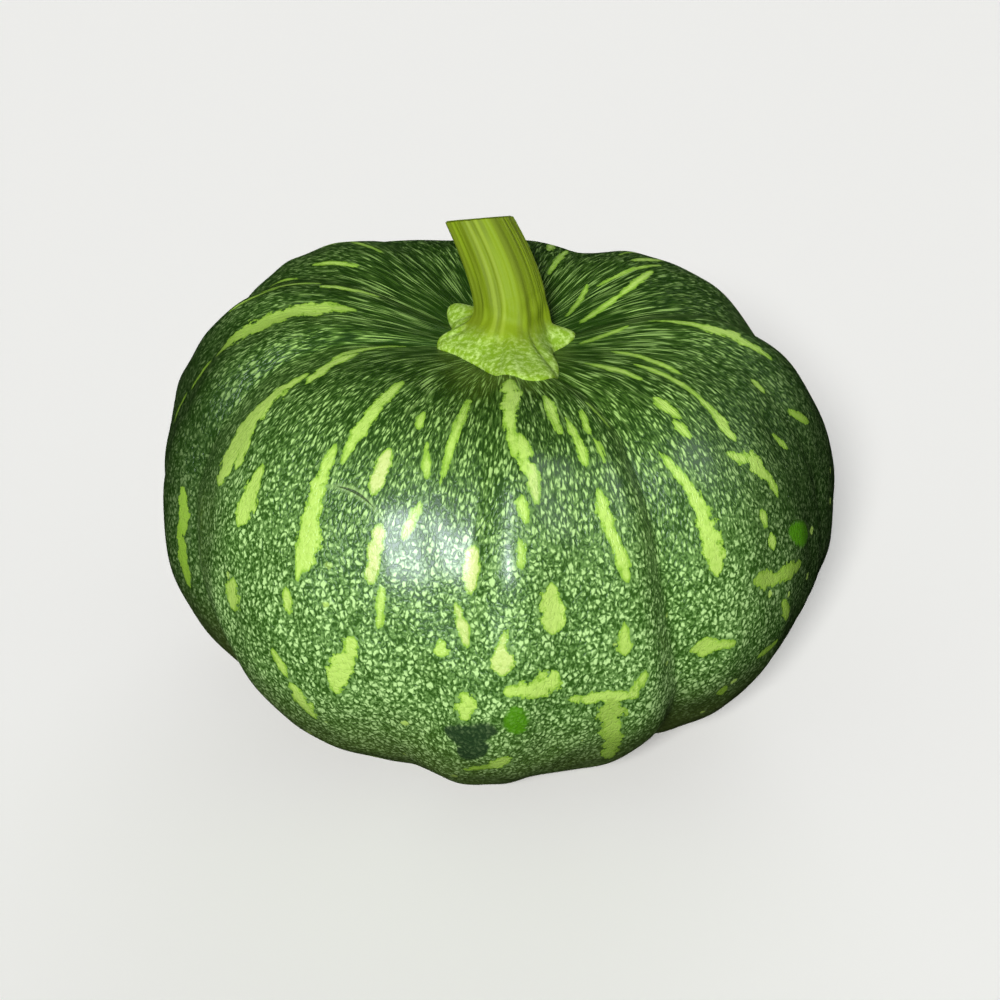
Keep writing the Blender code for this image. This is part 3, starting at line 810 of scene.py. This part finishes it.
# %% The rind's material
GROUND_HIGH, GROUND_LOW = paint(32, 62, 12), paint(48, 88, 22)
MID_HIGH, MID_LOW = paint(70, 106, 36), paint(102, 144, 72)
FLECK_HIGH, FLECK_LOW = paint(158, 198, 106), paint(188, 228, 150)
# Painted shade for the rind's sides: its dark green, its strength and its lean to the right
PAINTED_SHADE_GREEN, PAINTED_SHADE_DEPTH, PAINTED_SHADE_TURN = paint(20, 42, 6), 0.8, 0.08
LIME_EDGE = paint(138, 186, 56)
LIME = paint(184, 222, 106)
CREAM = paint(206, 222, 142)
# Olive for splashes, which also paints shade on those on the sides and low down
OLIVE_AND_PAINTED_SHADE = paint(122, 160, 48)
BRIGHT_GREEN = paint(80, 146, 10)
PATCH_GREEN = paint(34, 58, 34)
# Painted light bounced from the floor, low on the rind
PAINTED_BOUNCE_OLIVE = paint(78, 88, 36)
NICK_DARK = paint(22, 38, 16)
CORK = paint(150, 128, 88)
CORK_DARK = paint(92, 72, 46)
NICK_BEND = (0.04, 0.16, -0.4)
NICK_TAPER = 0.012


def rind_material():
    bench = Bench("rind_finish")
    flow, towards_right, towards_back, _ = bench.attribute("rind_flow")
    _, splash, tint, furrow = bench.attribute("splash")
    _, patch, spot, from_axis = bench.attribute("marks")
    _, nick_round, nick_down, _ = bench.attribute("nick")
    polar = bench.number("polar")
    down = bench.number("down")
    place = bench.object_place()
    flecks = rind_flecks(bench, place)

    # Fewer flecks by the stem and in the furrows, and a thin dark halo round each splash
    slow = bench.noise(place, 62, 2.0)
    thin = bench.maths("ADD", bench.step(down, 30, 100, 0.15, 0.0), bench.step(furrow, 1.5, 9.0, 0.0, 0.06))
    thin = bench.maths("ADD", thin, bench.step(slow, 0.35, 0.65, 0.05, -0.05))
    level = bench.maths("SUBTRACT", flecks, thin)
    halo = bench.step(splash, -1.2, -0.3, 1.0, 0.2)
    mid = bench.step(level, -0.05, 0.42)
    pale = bench.maths("MULTIPLY", bench.step(level, 0.38, 0.84), halo)

    # The rind pales down the fruit, and painted shade darkens it round its sides, from further forward where it is
    # low
    low = bench.step(down, 35, 115)
    colour = bench.tone(mid, bench.tone(low, GROUND_HIGH, GROUND_LOW), bench.tone(low, MID_HIGH, MID_LOW))
    fleck = bench.tone(low, FLECK_HIGH, FLECK_LOW)
    colour = bench.tone(pale, colour, fleck)
    turned = bench.maths("ADD", towards_back, bench.maths("MULTIPLY", towards_right, PAINTED_SHADE_TURN))
    turned = bench.maths("ADD", turned, bench.step(polar, 0.50, 0.66, 0.0, 0.3))
    side = bench.step(turned, -0.78, -0.30, 0.0, PAINTED_SHADE_DEPTH)
    side = bench.maths("MULTIPLY", side, bench.step(towards_back, 0.1, 0.7, 1.0, 0.4))
    reach = bench.maths("MAXIMUM", bench.step(down, 45, 95), bench.step(towards_back, -0.2, 0.5, 0.0, 0.8))
    colour = bench.tone(bench.maths("MULTIPLY", side, reach), colour, PAINTED_SHADE_GREEN)
    # Fine pale lines on the crown, pale dots on the belly and a painted olive light bounced from the floor low down
    lines = bench.noise(bench.scaled(flow, CROWN_LINES), 1.0, 1.0)
    lines = bench.maths("MULTIPLY", bench.step(lines, 0.60, 0.70), bench.step(down, 62, 40, 0.0, 0.9))
    colour = bench.tone(lines, colour, FLECK_HIGH)
    from_dot, dot_size = bench.dots(bench.warped(bench.scaled(place, (1000, 1000, 1000)), 0.8, 1.2), 0.16)
    dot_reach = bench.step(dot_size, 0.72, 1.0, 0.0, 0.20)
    dots = bench.step(bench.maths("SUBTRACT", dot_reach, from_dot), -0.01, 0.05)
    dots = bench.maths("MULTIPLY", dots, bench.step(down, 80, 120, 0.0, 0.9))
    colour = bench.tone(dots, colour, LIME)
    colour = bench.tone(bench.step(polar, 0.52, 0.72, 0.0, 0.55), colour, PAINTED_BOUNCE_OLIVE)

    # The splashes, cut out at a ragged edge that is rougher round a broad one
    streaks = bench.noise(bench.scaled(flow, (150, 150, 0.5)), 1.0, 2.0)
    ragged = bench.noise(place, 300, 4.0, 0.65)
    ragged = bench.maths("MULTIPLY", bench.maths("SUBTRACT", ragged, 0.5),
                         bench.step(bench.number("splash_size"), 0.4, 2.6, 1.6, 9.0))
    edge = bench.maths("ADD", bench.maths("MULTIPLY", bench.maths("SUBTRACT", streaks, 0.5), 1.2), ragged)
    edged = bench.maths("ADD", splash, edge)
    cut = bench.step(edged, -0.16, 0.20)
    splash_tone = bench.tone(bench.step(tint, 0.1, 1.0), LIME, CREAM)
    splash_tone = bench.tone(bench.step(edged, 0.1, 1.0), LIME_EDGE, splash_tone)
    # A negative tint mixes in olive: partly the splash's own colour, partly painted shade on the sides and low down
    splash_tone = bench.tone(bench.step(tint, -0.1, -0.9), splash_tone, OLIVE_AND_PAINTED_SHADE)
    mottle = bench.noise(place, 700, 2.0)
    splash_tone = bench.tone(bench.step(mottle, 0.45, 0.75, 0.0, 0.4), splash_tone, LIME_EDGE)
    colour = bench.tone(cut, colour, splash_tone)

    # The single marks: dark patch, green spots, and the nick as a curve in its own millimetres
    patch_cut = bench.step(bench.maths("ADD", patch, edge), -0.8, 1.2, 0.0, 0.88)
    colour = bench.tone(patch_cut, colour, PATCH_GREEN)
    spot_cut = bench.step(bench.maths("ADD", spot, edge), -0.6, 1.0, 0.0, 0.9)
    colour = bench.tone(spot_cut, colour, BRIGHT_GREEN)

    square = bench.maths("MULTIPLY", nick_round, nick_round)
    bend = bench.maths("ADD", bench.maths("MULTIPLY", square, NICK_BEND[0]),
                       bench.maths("ADD", bench.maths("MULTIPLY", nick_round, NICK_BEND[1]), NICK_BEND[2]))
    off_nick = bench.maths("ABSOLUTE", bench.maths("SUBTRACT", nick_down, bend))
    off_nick = bench.maths("ADD", off_nick, bench.maths("MULTIPLY", square, NICK_TAPER))
    colour = bench.tone(bench.step(off_nick, 1.5, 0.6, 0.0, 0.35), colour, fleck)
    nick = bench.step(off_nick, 0.42, 0.20)
    colour = bench.tone(bench.maths("MULTIPLY", nick, 0.8), colour, NICK_DARK)

    scar = bench.maths("MULTIPLY", bench.step(polar, 0.9, 0.91),
                       bench.step(bench.maths("ADD", from_axis, edge), 7.5, 5.5))
    cork = bench.tone(bench.noise(place, 900, 3.0), CORK, CORK_DARK)
    colour = bench.tone(scar, colour, cork)
    # Painted shade: the rind darkens halfway to its ground green in the hollow round the stem
    hollow = bench.maths("MULTIPLY", bench.step(from_axis, 36, 18), bench.step(polar, 0.5, 0.45))
    colour = bench.tone(bench.maths("MULTIPLY", hollow, 0.5), colour, GROUND_HIGH)

    # The wax shines less in the hollow round the stem
    grain = bench.bump(bench.noise(place, 1600, 2.0), 0.05 * MM)
    raised = bench.bump(mid, 0.07 * MM, grain)
    bench.dress(Base_Color=colour, Roughness=bench.mix(bench.noise(place, 180, 2.0), 0.32, 0.42),
                Specular_IOR_Level=bench.step(down, 20, 75, 0.2, 0.5),
                Coat_Weight=bench.step(down, 25, 75, 0.02, 0.3), Coat_Roughness=0.26,
                Normal=bench.bump(bench.maths("SUBTRACT", 1.0, nick), 0.2 * MM, raised))
    return bench.material


fruit.data.materials.append(rind_material())
print("rind nodes:", len(fruit.data.materials[0].node_tree.nodes))

# %% The stem's material
STEM_LIME = paint(124, 150, 8)
STEM_PALE = paint(154, 178, 54)
STEM_OLIVE = paint(94, 110, 14)
FOOT_GREEN = paint(130, 170, 34)
FOOT_PALE = paint(200, 232, 134)
CUT_PALE = paint(196, 204, 140)


def stem_material():
    bench = Bench("stem_finish")
    flow, *_ = bench.attribute("stem_flow")
    _, share, cords, cut = bench.attribute("stem_place")
    place = bench.object_place()
    strands = bench.noise(bench.scaled(flow, (3.4, 3.4, 0.04)), 1.0, 1.6, 0.5)
    fine = bench.noise(bench.scaled(flow, (20, 20, 0.12)), 1.0, 1.0, 0.5)
    colour = bench.tone(bench.step(strands, 0.36, 0.60, 0.35, 1.0), STEM_OLIVE, STEM_LIME)
    colour = bench.tone(bench.step(cords, 0.35, 0.9, 0.0, 0.45), colour, STEM_PALE)
    colour = bench.tone(bench.step(fine, 0.56, 0.72, 0.0, 0.15), colour, STEM_PALE)
    flesh = bench.tone(bench.step(bench.noise(place, 850, 3.0, 0.6), 0.40, 0.74, 0.0, 0.9), FOOT_GREEN, FOOT_PALE)
    colour = bench.tone(bench.step(share, 0.26, 0.10), colour, flesh)
    rings = bench.noise(place, 700, 2.0)
    face = bench.tone(bench.step(cut, 0.15, 0.55), STEM_LIME, CUT_PALE)
    face = bench.tone(bench.step(rings, 0.5, 0.8, 0.0, 0.5), face, STEM_OLIVE)
    colour = bench.tone(bench.step(cut, 0.02, 0.08), colour, face)
    grain = bench.bump(bench.noise(place, 1400, 2.0), 0.06 * MM)
    bench.dress(Base_Color=colour, Roughness=bench.mix(fine, 0.55, 0.75), Specular_IOR_Level=0.3,
                Normal=bench.bump(fine, 0.05 * MM, grain))
    return bench.material


stem.data.materials.append(stem_material())
print("stem nodes:", len(stem.data.materials[0].node_tree.nodes))

# %% [markdown]
# The camera looks down at the fruit from about a third of the way up, turned a little on its own axis. It is
# placed from the fruit's own centre, at the widest circle of its axis.

# %% The camera
ELEVATION = np.radians(31.3)
ROLL = np.radians(2.1)
DISTANCE = 600 * MM
LENS = 80.5
OFF_CENTRE = (0.4 * MM, -0.7 * MM)

backwards = np.array([0, -np.cos(ELEVATION), np.sin(ELEVATION)])
level_up = np.array([0, np.sin(ELEVATION), np.cos(ELEVATION)])
image_right = np.array([np.cos(ROLL), 0, 0]) + np.sin(ROLL) * level_up
image_up = np.array([-np.sin(ROLL), 0, 0]) + np.cos(ROLL) * level_up
camera = bpy.data.objects.new("camera", bpy.data.cameras.new("camera"))
camera.data.lens = LENS
camera.data.sensor_width = 36
camera.data.clip_start = 0.01
spot_place = shift + backwards * DISTANCE + image_right * OFF_CENTRE[0] + image_up * OFF_CENTRE[1]
camera.matrix_world = Matrix([[*row, place] for row, place in
                              zip(np.array([image_right, image_up, backwards]).T.tolist(), spot_place)]
                             + [[0, 0, 0, 1]])
bpy.context.scene.collection.objects.link(camera)
bpy.context.scene.camera = camera
print("camera in mm:", np.round(spot_place / MM))

# %% [markdown]
# The light is plain and soft. A wide distant key near the camera gives the colours, a weaker and wider one
# reaches the back, and a pale world fills the shadows. One tall cool panel beside the key makes the bluish
# sheens at the front, because ribs bend a single lamp into several glints, and a broad one at the right leaves a
# faint glow there. The distant lights are kept out of reflections and the panels out of the diffuse light, so
# each can be set on its own.

# %% Light, floor and world
def panel(name, azimuth, elevation, distance, width, tall, power, colour):
    """A rectangle round the fruit's middle, facing it, which only shows as a sheen."""
    light = bpy.data.lights.new(name, "AREA")
    light.shape = "RECTANGLE"
    light.size, light.size_y = width, tall
    light.energy, light.color = power, colour
    lamp = bpy.data.objects.new(name, light)
    a, e = np.radians(azimuth), np.radians(elevation)
    away = Vector((np.sin(a) * np.cos(e), -np.cos(a) * np.cos(e), np.sin(e)))
    lamp.location = Vector(shift) + away * distance
    lamp.rotation_euler = away.to_track_quat("Z", "Y").to_euler()
    lamp.visible_diffuse = False
    bpy.context.scene.collection.objects.link(lamp)


def sun(name, power, angle, colour, towards):
    """A distant light from a direction, kept out of reflections."""
    lamp = bpy.data.objects.new(name, bpy.data.lights.new(name, "SUN"))
    lamp.data.energy, lamp.data.angle, lamp.data.color = power, np.radians(angle), colour
    lamp.rotation_euler = Vector(towards).to_track_quat("Z", "Y").to_euler()
    lamp.visible_glossy = False
    bpy.context.scene.collection.objects.link(lamp)


KEY_AZIMUTH, KEY_ELEVATION = np.radians(-10), np.radians(32)
sun("key", 4.1, 14, (1.0, 0.99, 0.95), (np.sin(KEY_AZIMUTH), -np.cos(KEY_AZIMUTH), np.tan(KEY_ELEVATION)))
sun("back_light", 1.1, 50, (0.95, 0.98, 1.0), (0.2, 1.0, 0.2))
panel("side_glow", 78, 46, 1.6, 0.8, 0.8, 6, (0.86, 0.93, 1.0))
panel("sheen", -14, 28, 0.9, 0.11, 0.50, 9.5, (0.82, 0.91, 1.0))

world = bpy.data.worlds.new("pale_room")
world.use_nodes = True
world.node_tree.nodes["Background"].inputs["Color"].default_value = (0.95, 0.97, 1.0, 1.0)
world.node_tree.nodes["Background"].inputs["Strength"].default_value = 0.14
world.cycles_visibility.glossy = False
bpy.context.scene.world = world

FLOOR_REACH = 6.0
floor_mesh = bpy.data.meshes.new("floor")
corners = [(x * FLOOR_REACH, y * FLOOR_REACH, 0) for x, y in ((-1, -1), (1, -1), (1, 1), (-1, 1))]
floor_mesh.from_pydata(corners, [], [(0, 1, 2, 3)])
floor = bpy.data.objects.new("floor", floor_mesh)
floor.visible_glossy = False
floor.visible_diffuse = False
bpy.context.scene.collection.objects.link(floor)
bench = Bench("floor_finish")
bench.dress(Base_Color=(0.95, 0.95, 0.95, 1), Roughness=0.9, Specular_IOR_Level=0.1)
floor_mesh.materials.append(bench.material)

bpy.context.scene.view_settings.view_transform = "Standard"
